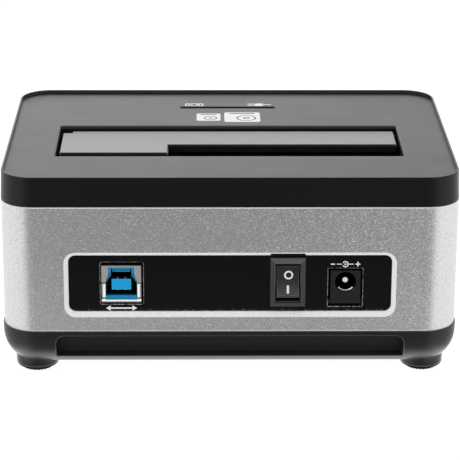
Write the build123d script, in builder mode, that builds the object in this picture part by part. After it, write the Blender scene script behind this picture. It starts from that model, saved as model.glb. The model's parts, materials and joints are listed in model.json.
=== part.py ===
from build123d import *
import os
from math import asin, cos, degrees, radians, sin, tan

os.makedirs("parts", exist_ok=True)

# Hard drive docking station: one 3.5-inch or 2.5-inch drive stands in a sprung-door bay on top.
# -Y is the rear with the sockets, +Y the front where the user stands, +X is to the right seen
# from the rear, +Z is up. The rubber pads stand on z = 0 and the casing is centred on X and Y.

# Casing
casing_length = 136.0
casing_depth = 94.4
casing_corner = 10.15
cover_height = 8.95
cover_inset = 0.3
cover_draft = 2.2
cover_edge = 0.25
rim_width = 0.6
rim_height = 0.95
top_wall = 2.0
skirt_wall = 2.85
shell_inset = 0.35
shell_height = 39.05
shell_wall = 1.8
shell_edge = 0.3
shell_foot_edge = 0.15
shell_foot_rise = 0.36
base_height = 10.8
base_wall = 2.0
base_band = 2.0
base_curve = 11.0
lip_height = 2.5
lip_wall = 1.4
lip_gap = 0.15
overrun = 1.0
running_gap = 0.05
seat_gap = 0.02

# Recesses low in the rear and front of the base
recess_margin = 16.2
recess_drop = 1.45
recess_ledge = 2.25
recess_depth = 6.4
recess_corner = 2.5
recess_foot_corner = 0.6
recess_edge = 0.25

# Feet
foot_inset = 9.93
foot_height = 3.0
foot_radius = 6.4
foot_edge = 1.2
pad_radius = 4.7
pad_proud = 0.7
pad_seat = 1.2
pad_gap = 0.05
pad_notches = 28
pad_notch_radius = 0.3

# Case screws, which pull the cover down onto the base
screw_shank = 1.25
screw_length = 20.0
screw_head = 2.75
screw_head_height = 2.0
screw_head_gap = 0.25
screw_hole = 1.6
screw_seat_height = 2.3
drive_depth = 0.9
drive_length_share = 1.2
drive_width_share = 0.3
boss_radius = 4.2
boss_height = 16.3
pillar_radius = 3.5

# Window in the rear of the shell and the plate behind it
window_margin = 20.2
window_height = 17.8
window_rise = 14.77
window_corner = 2.2
window_bevel = 1.3
plate_margin = 2.8
plate_lap = 2.3
plate_wall = 2.0
plate_edge = 0.2

# Drive slot in the cover
slot_margin = 15.5
slot_width = 31.0
slot_setback = 24.6
slot_corner = 0.8
slot_edge = 0.5

# Drive well under the slot
well_side_gap = 0.2
slot_lap = 0.9
slot_far_lap = 0.7
well_wall = 1.6
well_floor_rise = 2.0
well_floor = 1.6
pocket_width = 3.05
pocket_low_share = 0.15
pocket_slope_share = 0.2
well_tab = 8.0
well_tab_reach = 9.0
well_tab_wall = 2.0
well_boss_radius = 3.0
well_boss_length = 8.0
well_screw_shank = 1.0
well_screw_length = 8.0
well_screw_head = 2.0
well_screw_head_height = 1.4
well_tab_spread = 20.0
well_tab_setback = 7.0

# Door over the slot, which swings down on a pin under the cover
door_drop = 1.0
door_side_gap = 0.85
door_far_gap = 2.45
door_near_gap = 6.33
small_slot_width = 14.6
door_leg_length = 33.0
door_panel_wall = 2.0
door_plate_wall = 0.5
door_plate_inset = 0.25
door_notch_length = 2.8
door_notch_width = 1.8
pin_radius = 1.0
pin_back = 3.0
pin_drop = 3.6
pin_end_gap = 0.4
barrel_wall = 0.4
arm_root = 3.0
arm_overlap = 0.5
arm_end_gap = 4.3
arm_length = 6.0
arm_inner = 14.0
arm_inner_length = 3.0
lug_gap = 0.35
lug_reach = 3.3
lug_low = 1.9
lug_high = 1.5

# Torsion spring round the door pin
spring_wire = 0.2
spring_radius = 1.3
spring_pitch = 0.6
spring_turns = 12
spring_leg = 7.0
spring_leg_rise = 10.0
spring_anchor = 2.7
spring_hole_gap = 0.15

# Light guide and status lights
light_length = 30.4
light_width = 2.2
light_share = 0.5304
light_recess = 0.6
light_gap = 0.05
light_flange_length = 34.0
light_flange_width = 5.0
light_flange_wall = 1.5
light_leg = 3.0
light_leg_x = 10.0
light_leg_gap = 0.3
led_length = 3.2
led_width = 1.6
led_height = 1.1

# Main board and its posts
board_margin = 15.35
board_front_share = 0.2922
board_wall = 1.6
board_rise = 7.0
board_corner = 1.5
board_gap = 0.2
board_hole = 1.7
board_notch_gap = 0.8
post_radius = 3.0
post_inset = 4.0
post_setback = 7.0
board_screw_shank = 1.25
board_screw_length = 6.0
board_screw_head = 2.6
board_screw_head_height = 1.7

# Data socket, a square two-storey socket with a blue insulator
usb_end_gap = 15.6
usb_width = 11.7
usb_height = 11.5
usb_depth = 16.5
usb_setback = 2.4
usb_wall = 0.4
usb_neck_half = 3.95
usb_low_half = 4.75
usb_shoulder_rise = 6.4
usb_shoulder_height = 2.2
usb_sill = 0.75
usb_lining = 0.85
usb_low_lining = 0.15
usb_sill_lining = 1.3
usb_cavity_depth = 9.0
usb_back_gap = 0.4
usb_liner_gap = 0.03
usb_tongue_width = 5.7
usb_tongue_height = 3.3
usb_tongue_rise = 3.7
usb_tongue_recess = 0.8
usb_upper_width = 5.3
usb_upper_height = 1.5
usb_upper_recess = 1.3
usb_contact_width = 0.6
usb_contact_wall = 0.3
usb_contact_length = 5.5
usb_contact_pitch = 2.3
usb_contact_recess = 1.2
usb_cut_width = 12.7
usb_cut_height = 13.2
usb_cut_x = 0.15
usb_cut_drop = 0.55
usb_cut_corner = 0.6
usb_upper_contacts = 5

# Power inlet, a round jack in a square body
jack_end_gap = 13.6
jack_width = 8.9
jack_height = 9.8
jack_depth = 14.0
jack_setback = 2.7
jack_hole = 3.15
jack_hole_rise = 6.2
jack_hole_depth = 10.5
jack_pin_radius = 1.05
jack_pin_recess = 1.6
jack_pin_tip = 0.85
jack_leaf_spread = 100
jack_leaf_wall = 0.3
jack_leaf_recess = 0.4
jack_leaf_gap = 0.25
jack_flange_drop = 0.55
jack_flange_wall = 1.4
jack_cut_width = 10.25
jack_cut_height = 12.0
jack_cut_drop = 1.33
jack_cut_x = -0.1

# Rocker switch
switch_jack_gap = 17.15
switch_rise = 0.45
bezel_width = 10.35
bezel_margin = 1.3
bezel_front = 0.2
bezel_fall = 0.95
bezel_land = 0.1
bezel_step = 0.25
bezel_step_depth = 1.0
switch_open_width = 7.75
bezel_bar = 1.4
switch_body_width = 8.8
bezel_lap = 0.95
switch_body_depth = 11.6
switch_back_wall = 1.5
switch_cut_gap = 0.1
clip_width = 4.0
clip_height = 0.5
clip_length = 2.2
clip_gap = 0.1
rocker_width = 6.6
rocker_end_gap = 0.95
rocker_tilt = 10.0
rocker_recess = 1.35
rocker_bevel = 0.9
rocker_bevel_back = 0.75
rocker_skirt = 0.8
pivot_depth = 4.9
pivot_boss = 2.2
trunnion_radius = 0.9
trunnion_reach = 4.15
plunger_half = 0.9
plunger_length = 4.5
terminal_width = 3.2
terminal_wall = 0.8
terminal_length = 4.0
terminal_spread = 3.2
lead_radius = 0.7
lead_spread = 1.05
lead_reach = 1.8
lead_bend = 1.0

# Drive connector, upright on the board
sata_end_gap = 28.7
sata_setback = 4.9
sata_base_length = 46.5
sata_base_width = 6.6
sata_base_height = 5.2
sata_length = 39.0
sata_width = 4.8
sata_height = 10.6
sata_post_length = 2.0
sata_post_height = 12.5
sata_slot_width = 1.5
sata_slot_depth = 4.6
sata_power_length = 21.4
sata_power_x = -8.0
sata_signal_length = 11.2
sata_signal_x = 11.4
sata_key_length = 1.4
sata_key_width = 1.2
sata_power_contacts = 15
sata_signal_contacts = 7
sata_contact_pitch = 1.27
sata_contact_width = 0.6
sata_contact_wall = 0.2
sata_contact_length = 4.0
sata_opening_gap = 0.6

# Parts on the board
chip_x = -6.0
chip_length = 9.0
chip_height = 1.0
chip_edge = 0.15
flash_x = -24.0
flash_length = 5.0
flash_width = 4.0
flash_height = 1.5
crystal_x = 0.0
crystal_length = 11.0
crystal_width = 4.6
crystal_height = 3.5
inductor_x = 34.0
inductor_length = 7.0
inductor_height = 4.0
inductor_core = 2.6
inductor_core_height = 0.3
inductor_edge = 1.2
can_x = 22.0
can_radius = 3.15
can_height = 7.5
can_edge = 0.5
can_foot = 6.6
can_foot_height = 1.0
ceramic_length = 2.0
ceramic_width = 1.25
ceramic_height = 0.9
ceramic_count = 6
ceramic_pitch = 7.0
ceramic_x = -20.0
ceramic_setback = 8.0
ceramic_row_pitch = 3.0

# Levels worked out from the heights above
base_bottom = pad_proud + foot_height
base_top = base_bottom + base_height
shell_top = base_top + shell_height
cover_top = shell_top + cover_height
cover_face = cover_top - rim_height
cover_under = cover_face - top_wall
base_floor = base_bottom + base_wall
board_top = base_top + board_rise + board_wall
board_under = base_top + board_rise
well_low = board_top + well_floor_rise
well_seat = well_low + well_floor

# Depths of the casing's layers, counted inwards from the base's outline
shell_in = shell_inset + shell_wall
cover_top_inset = cover_inset + cover_height * tan(radians(cover_draft))
lip_out = shell_in + lip_gap
lip_in = lip_out + lip_wall
rear_y = -casing_depth / 2

# Lengths along the casing, which keep their margins at its ends
window_length = casing_length - 2 * window_margin
slot_length = casing_length - 2 * slot_margin
well_length = slot_length + 2 * well_side_gap
board_length = casing_length - 2 * board_margin
recess_half = casing_length / 2 - recess_margin
post_x = board_length / 2 - post_inset
usb_x = usb_end_gap - window_length / 2
jack_x = window_length / 2 - jack_end_gap
switch_x = jack_x - switch_jack_gap
sata_x = well_length / 2 - sata_end_gap

foot_x = casing_length / 2 - foot_inset
foot_y = casing_depth / 2 - foot_inset
foot_places = [(x, y) for x in (-foot_x, foot_x) for y in (-foot_y, foot_y)]


def rear(depth):
    """Upright plane at a depth behind the rear face, seen from the rear."""
    return Plane.XZ.offset(casing_depth / 2 - depth)


def block(x, y, z, mode=Mode.ADD):
    """Box between three pairs of limits."""
    with BuildSketch(Plane.XY.offset(z[0])) as outline:
        with Locations(((x[0] + x[1]) / 2, (y[0] + y[1]) / 2)):
            Rectangle(x[1] - x[0], y[1] - y[0])
    extrude(outline.sketch, amount=z[1] - z[0], mode=mode)


def casing(inset, low, high, mode=Mode.ADD, draft=0):
    """Upright block of the casing's rounded outline, drawn in by an inset and narrowing by a draft."""
    with BuildSketch(Plane.XY.offset(low)) as outline:
        RectangleRounded(casing_length - 2 * inset, casing_depth - 2 * inset, casing_corner - inset)
    extrude(outline.sketch, amount=high - low, taper=draft, mode=mode)


def posts(places, radius, low, high, mode=Mode.ADD):
    """Upright round posts or holes of one size."""
    with BuildSketch(Plane.XY.offset(low)) as rounds:
        with Locations(*places):
            Circle(radius)
    extrude(rounds.sketch, amount=high - low, mode=mode)


def cross_bar(y, z, radius, x, mode=Mode.ADD):
    """Round bar or bore along X."""
    with BuildSketch(Plane.YZ.offset(x[0])) as section:
        with Locations((y, z)):
            Circle(radius)
    extrude(section.sketch, amount=x[1] - x[0], mode=mode)


def rear_window(centre, size, depth, corner=0, reach=overrun):
    """Opening cut inwards from a depth behind the rear face, through a reach."""
    with BuildSketch(rear(depth)) as outline:
        with Locations(centre):
            if corner:
                RectangleRounded(size[0], size[1], corner)
            else:
                Rectangle(size[0], size[1])
    extrude(outline.sketch, amount=-reach, mode=Mode.SUBTRACT)


def screws(places, seat, way, shank, length, head, head_height):
    """Pan-head screws whose shanks run from their seat upwards (way 1) or downwards (way -1)."""
    for place in places:
        seat_plane = Plane((place[0], place[1], seat), x_dir=(1, 0, 0), z_dir=(0, 0, way))
        with BuildSketch(seat_plane) as stem:
            Circle(shank)
        extrude(stem.sketch, amount=length)
        with BuildSketch(seat_plane) as cap:
            Circle(head)
        extrude(cap.sketch, amount=-head_height)
        with BuildSketch(seat_plane.offset(-head_height)) as cross:
            Rectangle(head * drive_length_share, head * drive_width_share)
            Rectangle(head * drive_width_share, head * drive_length_share)
        extrude(cross.sketch, amount=min(drive_depth, head_height / 2), mode=Mode.SUBTRACT)


def bowl(inset, bottom, top):
    """Casing outline whose wall curves inwards below its upright band, drawn in by an inset."""
    casing(inset, bottom, top)
    radius = base_curve - inset
    curve_top = base_top - base_band
    drop = curve_top - bottom
    with BuildSketch(Plane.XY.offset(curve_top)) as outline:
        RectangleRounded(casing_length - 2 * inset, casing_depth - 2 * inset, casing_corner - inset)
    route = outline.sketch.wire()
    inwards = Vector(0, 0, 1).cross(route % 0)
    with BuildSketch(Plane(route @ 0, x_dir=inwards, z_dir=route % 0)) as waste:
        with BuildLine():
            curve = CenterArc((radius, 0), radius, 180, degrees(asin(drop / radius)))
            low = curve @ 1
            Polyline(
                low,
                (low.X, -drop - overrun),
                (-overrun, -drop - overrun),
                (-overrun, 0),
                curve @ 0,
            )
        make_face()
    sweep(waste.sketch, path=route, mode=Mode.SUBTRACT)


# Top cover with its skirt, slot, light slot and four long screw pillars
slot_near = rear_y + slot_setback
slot_far = slot_near + slot_width
slot_y = (slot_near + slot_far) / 2
light_y = slot_far + (casing_depth / 2 - slot_far) * light_share
boss_top = base_floor + boss_height
well_outer_x = well_length / 2 + well_wall
well_tab_x = well_outer_x + well_tab_reach - well_tab / 2
well_tab_low = cover_under - well_boss_length - well_tab_wall
well_screw_ys = (slot_near + well_tab_setback, slot_near + well_tab_setback + well_tab_spread)
well_screw_places = [(x, y) for x in (-well_tab_x, well_tab_x) for y in well_screw_ys]

with BuildPart() as top_cover:
    casing(cover_inset, shell_top, cover_top, draft=cover_draft)
    fillet(top_cover.faces().sort_by(Axis.Z)[-1].edges(), cover_edge)
    casing(cover_top_inset + rim_width, cover_face, cover_top, Mode.SUBTRACT)
    casing(lip_in, shell_top, shell_top + lip_height, Mode.SUBTRACT)
    casing(skirt_wall, shell_top + lip_height, cover_under, Mode.SUBTRACT)
    casing(lip_out, shell_top - lip_height, shell_top)
    casing(lip_in, shell_top - lip_height, shell_top, Mode.SUBTRACT)
    posts(foot_places, pillar_radius, boss_top, cover_under)
    posts(foot_places, screw_shank + seat_gap, boss_top, cover_under, Mode.SUBTRACT)
    posts(well_screw_places, well_boss_radius, cover_under - well_boss_length, cover_under)
    posts(
        well_screw_places,
        well_screw_shank + seat_gap,
        cover_under - well_boss_length,
        cover_under,
        Mode.SUBTRACT,
    )
    with BuildSketch(Plane.XY.offset(cover_under)):
        with Locations((0, slot_y)):
            RectangleRounded(slot_length, slot_width, slot_corner)
    extrude(amount=top_wall, mode=Mode.SUBTRACT)
    slot_face = top_cover.faces().filter_by(Axis.Z).group_by(Axis.Z)[-2]
    fillet(slot_face.face().inner_wires().edges(), slot_edge)
    light_x_limits = (-light_length / 2, light_length / 2)
    light_y_limits = (light_y - light_width / 2, light_y + light_width / 2)
    block(light_x_limits, light_y_limits, (cover_under, cover_face), Mode.SUBTRACT)

# Aluminium band with its bevelled rear window
window_z = base_top + window_rise
with BuildPart() as aluminium_shell:
    casing(shell_inset, base_top, shell_top)
    chamfer(aluminium_shell.faces().sort_by(Axis.Z)[-1].edges(), shell_edge)
    shell_foot = aluminium_shell.faces().sort_by(Axis.Z)[0]
    chamfer(shell_foot.edges(), shell_foot_edge, shell_foot_rise, reference=shell_foot)
    casing(shell_in, base_top, shell_top, Mode.SUBTRACT)
    rear_window((0, window_z), (window_length, window_height), 0, window_corner, shell_in + overrun)
    outer_face = aluminium_shell.faces().filter_by(Axis.Y).sort_by(Axis.Y)[0]
    chamfer(outer_face.inner_wires().edges(), window_bevel)

# Base tray: curved bowl with feet, recesses, screw bosses and board posts
board_near = rear_y + shell_in + plate_wall + board_gap
board_far = light_y + (casing_depth / 2 - light_y) * board_front_share
board_posts = [
    (x, y) for x in (-post_x, post_x) for y in (board_near + post_setback, board_far - post_setback)
]
recess_top = base_top - recess_drop
recess_low = base_bottom + recess_ledge
recess_wall_half = recess_half + base_wall
recess_wall_y = casing_depth / 2 - recess_depth - base_wall


def on_mouth(edge, side):
    """Whether an edge is part of a recess's rim in the outer wall."""
    ends = (edge @ 0, edge @ 1)
    return (
        min(side * end.Y for end in ends) > recess_wall_y + base_wall + recess_edge
        and max(abs(end.X) for end in ends) < recess_half + seat_gap
        and max(end.Z for end in ends) < recess_top + seat_gap
        and min(end.Z for end in ends) > recess_low - seat_gap
    )


with BuildPart() as tray_hollow:
    bowl(base_wall, base_floor, base_top)
    for side in (-1, 1):
        wall_ys = sorted((side * recess_wall_y, side * (casing_depth / 2)))
        block(
            (-recess_wall_half, recess_wall_half), wall_ys, (base_floor, base_top), Mode.SUBTRACT
        )

with BuildPart() as base_tray:
    bowl(0, base_bottom, base_top)
    posts(foot_places, foot_radius, pad_proud, base_floor)
    fillet(base_tray.edges().group_by(Axis.Z)[0], foot_edge)
    add(tray_hollow.part, mode=Mode.SUBTRACT)
    casing(shell_in / 2, base_top - lip_height, base_top)
    casing(lip_out, base_top, base_top + lip_height)
    casing(lip_in, base_top - lip_height, base_top + lip_height, Mode.SUBTRACT)
    for side in (-1, 1):
        wall_ys = sorted((side * recess_wall_y, side * (casing_depth / 2 - shell_in)))
        block((-recess_wall_half, recess_wall_half), wall_ys, (base_top - lip_height, base_top))
        with BuildSketch(Plane.XZ.offset(-side * casing_depth / 2)):
            with Locations((0, (recess_low + recess_top) / 2)):
                Rectangle(2 * recess_half, recess_top - recess_low)
            fillet(vertices().group_by(Axis.Y)[-1], recess_corner)
            fillet(vertices().group_by(Axis.Y)[0], recess_foot_corner)
        extrude(amount=side * recess_depth, mode=Mode.SUBTRACT)
        chamfer([edge for edge in base_tray.edges() if on_mouth(edge, side)], recess_edge)
    posts(foot_places, boss_radius, base_floor, boss_top)
    posts(board_posts, post_radius, base_floor, board_under)
    head_seat = base_bottom + screw_seat_height
    posts(foot_places, pad_radius + pad_gap, pad_proud, pad_proud + pad_seat, Mode.SUBTRACT)
    posts(foot_places, screw_head + screw_head_gap, pad_proud, head_seat, Mode.SUBTRACT)
    posts(foot_places, screw_hole, head_seat, boss_top, Mode.SUBTRACT)
    posts(
        board_posts,
        board_screw_shank + seat_gap,
        board_under + board_wall - board_screw_length,
        board_under,
        Mode.SUBTRACT,
    )

# Rubber pads with a notched rim, one under each foot
with BuildPart() as rubber_feet:
    with BuildSketch(Plane.XY):
        with Locations(*foot_places):
            Circle(pad_radius)
        for place in foot_places:
            with Locations(place):
                with PolarLocations(pad_radius, pad_notches):
                    Circle(pad_notch_radius, mode=Mode.SUBTRACT)
    extrude(amount=pad_proud)
    posts(foot_places, pad_radius, pad_proud, pad_proud + pad_seat)

with BuildPart() as case_screws:
    screws(
        foot_places, head_seat, 1, screw_shank, screw_length, screw_head, screw_head_height
    )

# Black plate behind the window, with a cut-out for each socket and the switch
plate_front = shell_in
usb_z = board_top + usb_height / 2
jack_z = board_top + jack_height / 2
switch_z = window_z + switch_rise
plate_low = base_top + lip_height + lip_gap
plate_high = window_z + window_height / 2 + plate_lap
bezel_height = window_height - 2 * bezel_margin
switch_open_height = bezel_height - 2 * bezel_bar
switch_body_height = bezel_height - 2 * bezel_lap
with BuildPart() as rear_plate:
    plate_half = window_length / 2 + plate_margin
    block(
        (-plate_half, plate_half),
        (rear_y + plate_front, rear_y + plate_front + plate_wall),
        (plate_low, plate_high),
    )
    cut_reach = plate_wall + overrun
    usb_cut_z = board_top - usb_cut_drop + usb_cut_height / 2
    rear_window(
        (usb_x + usb_cut_x, usb_cut_z),
        (usb_cut_width, usb_cut_height),
        plate_front,
        usb_cut_corner,
        cut_reach,
    )
    jack_cut_z = board_top - jack_cut_drop + jack_cut_height / 2
    rear_window(
        (jack_x + jack_cut_x, jack_cut_z),
        (jack_cut_width, jack_cut_height),
        plate_front,
        reach=cut_reach,
    )
    plate_face = rear_plate.faces().filter_by(Axis.Y).sort_by(Axis.Y)[0]
    chamfer(plate_face.inner_wires().edges(), plate_edge)
    rear_window(
        (switch_x, switch_z),
        (switch_body_width + 2 * switch_cut_gap, switch_body_height + 2 * switch_cut_gap),
        plate_front,
        reach=cut_reach,
    )

# Drive well: open box under the slot with a pocket in its front wall for the opened door
well_near = slot_near + slot_lap
well_far = slot_far - slot_far_lap
pocket_far = well_far + pocket_width
door_near = slot_near + door_near_gap
door_far = slot_far - door_far_gap
pin_y = door_far + pin_back
pin_z = cover_face - pin_drop
door_tip_low = pin_z - (pin_y - door_near)
pocket_low = door_tip_low - (door_tip_low - well_seat) * pocket_low_share
pocket_slope = (door_tip_low - well_seat) * pocket_slope_share
sata_y = well_near + sata_setback
coil_turns = spring_turns + spring_leg_rise / 360
spring_half = spring_pitch * coil_turns / 2
door_left = -slot_length / 2 + door_side_gap
door_right = slot_length / 2 - door_side_gap
door_cut_x = door_left + door_leg_length
door_bar_near = slot_near + small_slot_width
arm_outer = well_length / 2 - arm_end_gap


def well_section(grow):
    """Side view of the well's hollow, from above its floor to the cover, grown on every side."""
    with BuildSketch(Plane.YZ.offset(-well_length / 2 - grow)) as section:
        with BuildLine():
            Polyline(
                (well_near - grow, well_seat - grow),
                (well_far + grow, well_seat - grow),
                (well_far + grow, pocket_low - pocket_slope - grow),
                (pocket_far + grow, pocket_low - grow),
                (pocket_far + grow, cover_under),
                (well_near - grow, cover_under),
                close=True,
            )
        make_face()
    return section.sketch


with BuildPart() as drive_well:
    extrude(well_section(well_wall), amount=well_length + 2 * well_wall)
    extrude(well_section(0), amount=well_length, mode=Mode.SUBTRACT)
    tab_x = well_outer_x + well_tab_reach
    for y in well_screw_ys:
        tab_ys = (y - well_tab / 2, y + well_tab / 2)
        tab_zs = (well_tab_low, well_tab_low + well_tab_wall)
        block((-tab_x, -well_outer_x), tab_ys, tab_zs)
        block((well_outer_x, tab_x), tab_ys, tab_zs)
    posts(
        well_screw_places,
        well_screw_shank + running_gap,
        well_tab_low,
        well_tab_low + well_tab_wall,
        Mode.SUBTRACT,
    )
    block(
        (-well_length / 2, door_left + door_notch_length - lug_gap),
        (pin_y - lug_reach, pocket_far),
        (pin_z - lug_low, pin_z + lug_high),
    )
    sata_half = sata_base_length / 2 + sata_opening_gap
    sata_side = sata_base_width / 2 + sata_opening_gap
    block(
        (sata_x - sata_half, sata_x + sata_half),
        (max(sata_y - sata_side, well_near), sata_y + sata_side),
        (well_low, well_seat),
        Mode.SUBTRACT,
    )
    cross_bar(
        pin_y, pin_z, pin_radius + running_gap, (-well_outer_x, well_outer_x), Mode.SUBTRACT
    )
    with BuildSketch(Plane.XZ.offset(-pocket_far)):
        with Locations((spring_half, pin_z - spring_radius)):
            Circle(spring_wire + spring_hole_gap)
    extrude(amount=-well_wall, mode=Mode.SUBTRACT)

with BuildPart() as well_screws:
    screws(
        well_screw_places,
        well_tab_low,
        1,
        well_screw_shank,
        well_screw_length,
        well_screw_head,
        well_screw_head_height,
    )

# Door: black panel with hinge arms, silver face plate and a pin along its front edge
door_face = cover_face - door_drop
door_panel_top = door_face - door_plate_wall
door_low = door_panel_top - door_panel_wall
barrel_radius = pin_radius + barrel_wall


def door_outline(inset, level):
    """Plan of the door: a bar along the hinge, a leg at its left end and a notch by the hinge."""
    with BuildSketch(Plane.XY.offset(level)) as outline:
        with BuildLine():
            Polyline(
                (door_left + inset, door_near + inset),
                (door_cut_x - inset, door_near + inset),
                (door_cut_x - inset, door_bar_near + inset),
                (door_right - inset, door_bar_near + inset),
                (door_right - inset, door_far - inset),
                (door_left + door_notch_length + inset, door_far - inset),
                (door_left + door_notch_length + inset, door_far - door_notch_width - inset),
                (door_left + inset, door_far - door_notch_width - inset),
                close=True,
            )
        make_face()
    return outline.sketch


def hinge_arm(x_low, x_high):
    """Arm from under the panel's far edge to the barrel round the pin."""
    with BuildSketch(Plane.YZ.offset(x_low)) as section:
        with BuildLine():
            Polyline(
                (door_far - arm_root, door_low + arm_overlap),
                (door_far - arm_root, door_low),
                (door_far, pin_z - barrel_radius),
                (pin_y, pin_z - barrel_radius),
                (pin_y, pin_z + barrel_radius),
                (door_far - arm_overlap, pin_z + barrel_radius),
                (door_far - arm_overlap, door_low + arm_overlap),
                close=True,
            )
        make_face()
        with Locations((pin_y, pin_z)):
            Circle(barrel_radius)
    extrude(section.sketch, amount=x_high - x_low)


with BuildPart() as door_panel:
    extrude(door_outline(0, door_low), amount=door_panel_wall)
    hinge_arm(-arm_outer, -arm_outer + arm_length)
    hinge_arm(-arm_inner, -arm_inner + arm_inner_length)
    hinge_arm(arm_inner - arm_inner_length, arm_inner)
    hinge_arm(arm_outer - arm_length, arm_outer)
    cross_bar(pin_y, pin_z, pin_radius + seat_gap, (-arm_outer, arm_outer), Mode.SUBTRACT)

with BuildPart() as door_plate:
    extrude(door_outline(door_plate_inset, door_panel_top), amount=door_plate_wall)

with BuildPart() as door_hinge_pin:
    pin_half = well_outer_x - pin_end_gap
    cross_bar(pin_y, pin_z, pin_radius, (-pin_half, pin_half))

# Torsion spring: one leg lifts the door, the other is caught in the well's front wall
leg_slope = radians(spring_leg_rise)
coil_plane = Plane(
    (-spring_half, pin_y, pin_z), x_dir=(0, -sin(leg_slope), -cos(leg_slope)), z_dir=(1, 0, 0)
)
coil_wire = coil_plane.from_local_coords(
    Helix(pitch=spring_pitch, height=2 * spring_half, radius=spring_radius)
).edge()
with BuildPart() as door_spring:
    start_plane = Plane(coil_wire @ 0, z_dir=coil_wire % 0)
    end_plane = Plane(coil_wire @ 1, z_dir=coil_wire % 1)
    with BuildSketch(start_plane) as wire_section:
        Circle(spring_wire)
    sweep(wire_section.sketch, path=coil_wire, is_frenet=True)
    extrude(wire_section.sketch, amount=-spring_leg)
    with BuildSketch(end_plane) as end_section:
        Circle(spring_wire)
    extrude(end_section.sketch, amount=spring_anchor)

# Light guide: a bar in the cover with a flange below it and a leg down to each status light
led_top = board_top + led_height
with BuildPart() as light_guide:
    flange_top = cover_under
    flange_low = cover_under - light_flange_wall
    guide_xs = (-light_length / 2 + light_gap, light_length / 2 - light_gap)
    guide_ys = (light_y - light_width / 2 + light_gap, light_y + light_width / 2 - light_gap)
    block(guide_xs, guide_ys, (flange_low, cover_face - light_recess))
    block(
        (-light_flange_length / 2, light_flange_length / 2),
        (light_y - light_flange_width / 2, light_y + light_flange_width / 2),
        (flange_low, flange_top),
    )
    for x in (-light_leg_x, light_leg_x):
        block(
            (x - light_leg / 2, x + light_leg / 2),
            (light_y - light_leg / 2, light_y + light_leg / 2),
            (led_top + light_leg_gap, flange_low),
        )

with BuildPart() as status_leds:
    for x in (-light_leg_x, light_leg_x):
        block(
            (x - led_length / 2, x + led_length / 2),
            (light_y - led_width / 2, light_y + led_width / 2),
            (board_top, led_top),
        )

# Main board, with a notch under the switch, and its screws
switch_back = rear_y + plate_front + switch_body_depth
with BuildPart() as main_board:
    with BuildSketch(Plane.XY.offset(board_under)):
        with Locations((0, (board_near + board_far) / 2)):
            RectangleRounded(board_length, board_far - board_near, board_corner)
        with Locations(*board_posts):
            Circle(board_hole, mode=Mode.SUBTRACT)
    extrude(amount=board_wall)
    notch_half = switch_body_width / 2 + board_notch_gap
    block(
        (switch_x - notch_half, switch_x + notch_half),
        (board_near, switch_back + board_notch_gap),
        (board_under, board_top),
        Mode.SUBTRACT,
    )

with BuildPart() as board_screws:
    screws(
        board_posts,
        board_top,
        -1,
        board_screw_shank,
        board_screw_length,
        board_screw_head,
        board_screw_head_height,
    )


# Data socket
def house(neck_half, low_half, top, shoulder_high, shoulder_low, sill):
    """Socket outline: a narrow neck above sloping shoulders and a wider body."""
    with BuildLine() as outline:
        Polyline(
            (usb_x - low_half, sill),
            (usb_x + low_half, sill),
            (usb_x + low_half, shoulder_low),
            (usb_x + neck_half, shoulder_high),
            (usb_x + neck_half, top),
            (usb_x - neck_half, top),
            (usb_x - neck_half, shoulder_high),
            (usb_x - low_half, shoulder_low),
            close=True,
        )
    make_face(outline.edges())


usb_top = board_top + usb_height
usb_front = usb_setback
usb_shoulder_low = board_top + usb_shoulder_rise
usb_shoulder_high = usb_shoulder_low + usb_shoulder_height
with BuildPart() as usb_shell:
    with BuildSketch(rear(usb_front)):
        with Locations((usb_x, usb_z)):
            Rectangle(usb_width, usb_height)
    extrude(amount=-usb_depth)
    with BuildSketch(rear(usb_front + usb_wall)):
        with Locations((usb_x, usb_z)):
            Rectangle(usb_width - 2 * usb_wall, usb_height - 2 * usb_wall)
    extrude(amount=-(usb_depth - usb_wall), mode=Mode.SUBTRACT)
    with BuildSketch(rear(usb_front)):
        house(
            usb_neck_half,
            usb_low_half,
            usb_top - usb_wall,
            usb_shoulder_high,
            usb_shoulder_low,
            board_top + usb_sill,
        )
    extrude(amount=-usb_wall, mode=Mode.SUBTRACT)

tongue_low = board_top + usb_tongue_rise
tongue_top = tongue_low + usb_tongue_height
upper_top = usb_top - usb_wall - usb_liner_gap - usb_wall
with BuildPart() as usb_insulator:
    with BuildSketch(rear(usb_front + usb_wall + usb_liner_gap)):
        with Locations((usb_x, usb_z)):
            Rectangle(
                usb_width - 2 * (usb_wall + usb_liner_gap), usb_height - 2 * (usb_wall + usb_liner_gap)
            )
    extrude(amount=-(usb_depth - usb_wall - usb_liner_gap - usb_back_gap))
    with BuildSketch(rear(usb_front)):
        house(
            usb_neck_half - usb_liner_gap,
            usb_low_half - usb_liner_gap,
            usb_top - usb_wall - usb_liner_gap,
            usb_shoulder_high - usb_liner_gap,
            usb_shoulder_low - usb_liner_gap,
            board_top + usb_sill + usb_liner_gap,
        )
    extrude(amount=-(usb_wall + usb_liner_gap))
    with BuildSketch(rear(usb_front)):
        house(
            usb_neck_half - usb_lining,
            usb_low_half - usb_low_lining,
            upper_top,
            usb_shoulder_high - usb_low_lining,
            usb_shoulder_low - usb_low_lining,
            board_top + usb_sill + usb_sill_lining,
        )
    extrude(amount=-usb_cavity_depth, mode=Mode.SUBTRACT)
    with BuildSketch(rear(usb_front + usb_cavity_depth)):
        with Locations((usb_x, (tongue_low + tongue_top) / 2)):
            Rectangle(usb_tongue_width, usb_tongue_height)
    extrude(amount=usb_cavity_depth - usb_tongue_recess)
    with BuildSketch(rear(usb_front + usb_cavity_depth)):
        with Locations((usb_x, upper_top - usb_upper_height / 2)):
            Rectangle(usb_upper_width, usb_upper_height)
    extrude(amount=usb_cavity_depth - usb_upper_recess)


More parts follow.
